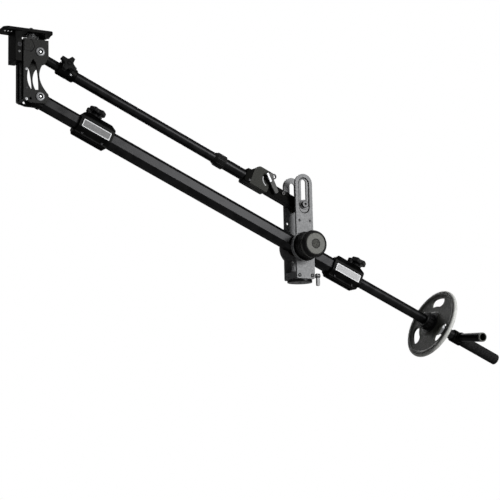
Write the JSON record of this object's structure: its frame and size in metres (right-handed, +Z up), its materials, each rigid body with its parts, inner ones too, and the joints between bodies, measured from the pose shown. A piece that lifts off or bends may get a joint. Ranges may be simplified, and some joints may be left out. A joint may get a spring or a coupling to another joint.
{
  "type": "camera jib crane",
  "caption": "Camera jib crane: pan base and slotted post, telescopic boom with a levelling rod above it, self-levelling camera head, and a weight bar with plate and handles.",
  "frame": {"origin": "centre of the flat underside of the pan base, where it sits on a stand", "axes": "+X level, towards the weight; -Y towards the drag knob; +Z up along the pan axis"},
  "size_m": [1.3796, 0.2119, 0.7521],
  "materials": {
    "black_anodised": "black anodised tube, satin",
    "satin_black": "black anodised casting, satin",
    "grey_textured": "grey textured coat",
    "black_plastic": "moulded, matte",
    "rubber": "fine grained",
    "cast_iron": "dark olive grey enamel on a cast surface",
    "steel": "plated",
    "bronze": "sintered, oiled",
    "silver_plate": "brushed, bare",
    "knob_face": "grey disc"
  },
  "bodies": {
    "base": {"pan_base": "black_anodised"},
    "post": {"base_block": "grey_textured", "post_plate_near": "grey_textured", "post_plate_far": "grey_textured", "tilt_shaft": "steel", "tilt_bush_near": "bronze", "tilt_bush_far": "bronze", "drag_flange": "satin_black", "slot_bolt": "steel", "slot_bolt_nut": "steel", "rod_spacer_near": "bronze", "rod_spacer_far": "bronze"},
    "pan_lever": {"pan_lock_lever": "steel"},
    "drag": {"drag_knob": "black_plastic", "drag_knob_insert": "knob_face"},
    "boom": {"boom_tube": "black_anodised", "pivot_sleeve": "steel", "front_clamp": "satin_black", "rear_clamp": "satin_black", "front_plaque": "silver_plate", "rear_plaque": "silver_plate", "bar_guide": "black_plastic"},
    "front_knob": {"front_clamp_knob": "black_plastic"},
    "rear_knob": {"rear_clamp_knob": "black_plastic"},
    "extension": {"extension_tube": "black_anodised", "extension_eye": "satin_black"},
    "head": {"head_plate_near": "satin_black", "head_plate_far": "satin_black", "head_web": "satin_black", "head_lower_pin": "steel", "head_lower_nut": "steel", "head_upper_pin": "steel", "head_upper_nut": "steel", "platform_leg": "satin_black", "camera_platform": "satin_black"},
    "screw_slide": {"camera_screw_washer": "steel"},
    "camera_bolt": {"camera_screw": "steel"},
    "bar": {"weight_bar": "black_anodised", "rear_grip": "rubber"},
    "weights": {"weight_stop_collar": "rubber", "weight_plate": "cast_iron", "weight_lock_collar": "steel"},
    "collar_screw": {"lock_collar_screw": "black_plastic"},
    "handle": {"handle_clamp": "satin_black", "side_handle": "black_anodised"},
    "rod": {"rod_main_tube": "black_anodised", "rod_rear_tube": "black_anodised", "star_clamp": "satin_black", "rod_clamp": "satin_black", "rod_rear_link": "satin_black"},
    "rod_front": {"rod_front_tube": "black_anodised", "rod_front_eye": "satin_black"},
    "rod_collar": {"rod_lock_collar": "satin_black"},
    "star": {"star_knob": "black_plastic"},
    "cam": {"rod_cam_lever": "steel"}
  },
  "joints": [
    {"name": "pan", "type": "hinge", "parent": "base", "child": "post", "pos_m": [0, 0, 0.02], "axis": [0, 0, 1], "continuous": true},
    {"name": "pan_lock_turn", "type": "hinge", "parent": "post", "child": "pan_lever", "pos_m": [0.043, -0.015, 0.0175], "axis": [1, 0, 0], "range_deg": [0, 90]},
    {"name": "drag_knob_turn", "type": "hinge", "parent": "post", "child": "drag", "pos_m": [0, -0.05, 0.087], "axis": [0, -1, 0], "range_deg": [0, 360]},
    {"name": "boom_tilt", "type": "hinge", "parent": "post", "child": "boom", "pos_m": [0, 0, 0.087], "axis": [0, 1, 0], "range_deg": [-54, 14]},
    {"name": "front_clamp_turn", "type": "hinge", "parent": "boom", "child": "front_knob", "pos_m": [-0.54732, 0, 0.36604], "axis": [0.4067, 0, 0.9135], "range_deg": [0, 540]},
    {"name": "rear_clamp_turn", "type": "hinge", "parent": "boom", "child": "rear_knob", "pos_m": [0.16479, 0, 0.04899], "axis": [0.4067, 0, 0.9135], "range_deg": [0, 540]},
    {"name": "front_extend", "type": "slide", "parent": "boom", "child": "extension", "axis": [-0.9135, 0, 0.4067], "range_m": [0, 0.3]},
    {"name": "head_level", "type": "hinge", "parent": "extension", "child": "head", "pos_m": [-0.68973, 0, 0.39409], "axis": [0, 1, 0], "range_deg": [-14, 54]},
    {"name": "camera_screw_slide", "type": "slide", "parent": "head", "child": "screw_slide", "axis": [1, 0, 0], "range_m": [-0.012, 0.029]},
    {"name": "camera_screw_turn", "type": "hinge", "parent": "screw_slide", "child": "camera_bolt", "pos_m": [-0.70273, 0, 0.54], "axis": [0, 0, 1], "continuous": true},
    {"name": "weight_bar_slide", "type": "slide", "parent": "boom", "child": "bar", "axis": [0.9135, 0, -0.4067], "range_m": [-0.055, 0.05]},
    {"name": "weight_slide", "type": "slide", "parent": "bar", "child": "weights", "axis": [0.9135, 0, -0.4067], "range_m": [-0.16, 0.03]},
    {"name": "collar_screw_turn", "type": "hinge", "parent": "weights", "child": "collar_screw", "pos_m": [0.42054, 0, -0.07802], "axis": [0.4067, 0, 0.9135], "range_deg": [0, 540]},
    {"name": "side_handle_turn", "type": "hinge", "parent": "bar", "child": "handle", "pos_m": [0.47322, 0, -0.12369], "axis": [0.9135, 0, -0.4067], "range_deg": [-90, 90]},
    {"name": "rod_tilt", "type": "hinge", "parent": "post", "child": "rod", "pos_m": [0, 0, 0.192], "axis": [0, 1, 0], "range_deg": [-54, 14]},
    {"name": "rod_extend", "type": "slide", "parent": "rod", "child": "rod_front", "axis": [-0.9135, 0, 0.4067], "range_m": [0, 0.3]},
    {"name": "rod_collar_turn", "type": "hinge", "parent": "rod", "child": "rod_collar", "pos_m": [-0.22108, 0, 0.29043], "axis": [0.9135, 0, -0.4067], "range_deg": [0, 90]},
    {"name": "star_knob_turn", "type": "hinge", "parent": "rod", "child": "star", "pos_m": [-0.62578, 0, 0.47062], "axis": [0.1121, -0.9613, 0.2518], "range_deg": [0, 540]},
    {"name": "cam_lever_lift", "type": "hinge", "parent": "rod", "child": "cam", "pos_m": [-0.08931, 0, 0.25694], "axis": [0, -1, 0], "range_deg": [0, 85]}
  ],
  "couplings": [
    {"joint": "head_level", "follows": "boom_tilt", "ratio": -1},
    {"joint": "rod_tilt", "follows": "boom_tilt", "ratio": 1},
    {"joint": "rod_extend", "follows": "front_extend", "ratio": 1}
  ]
}
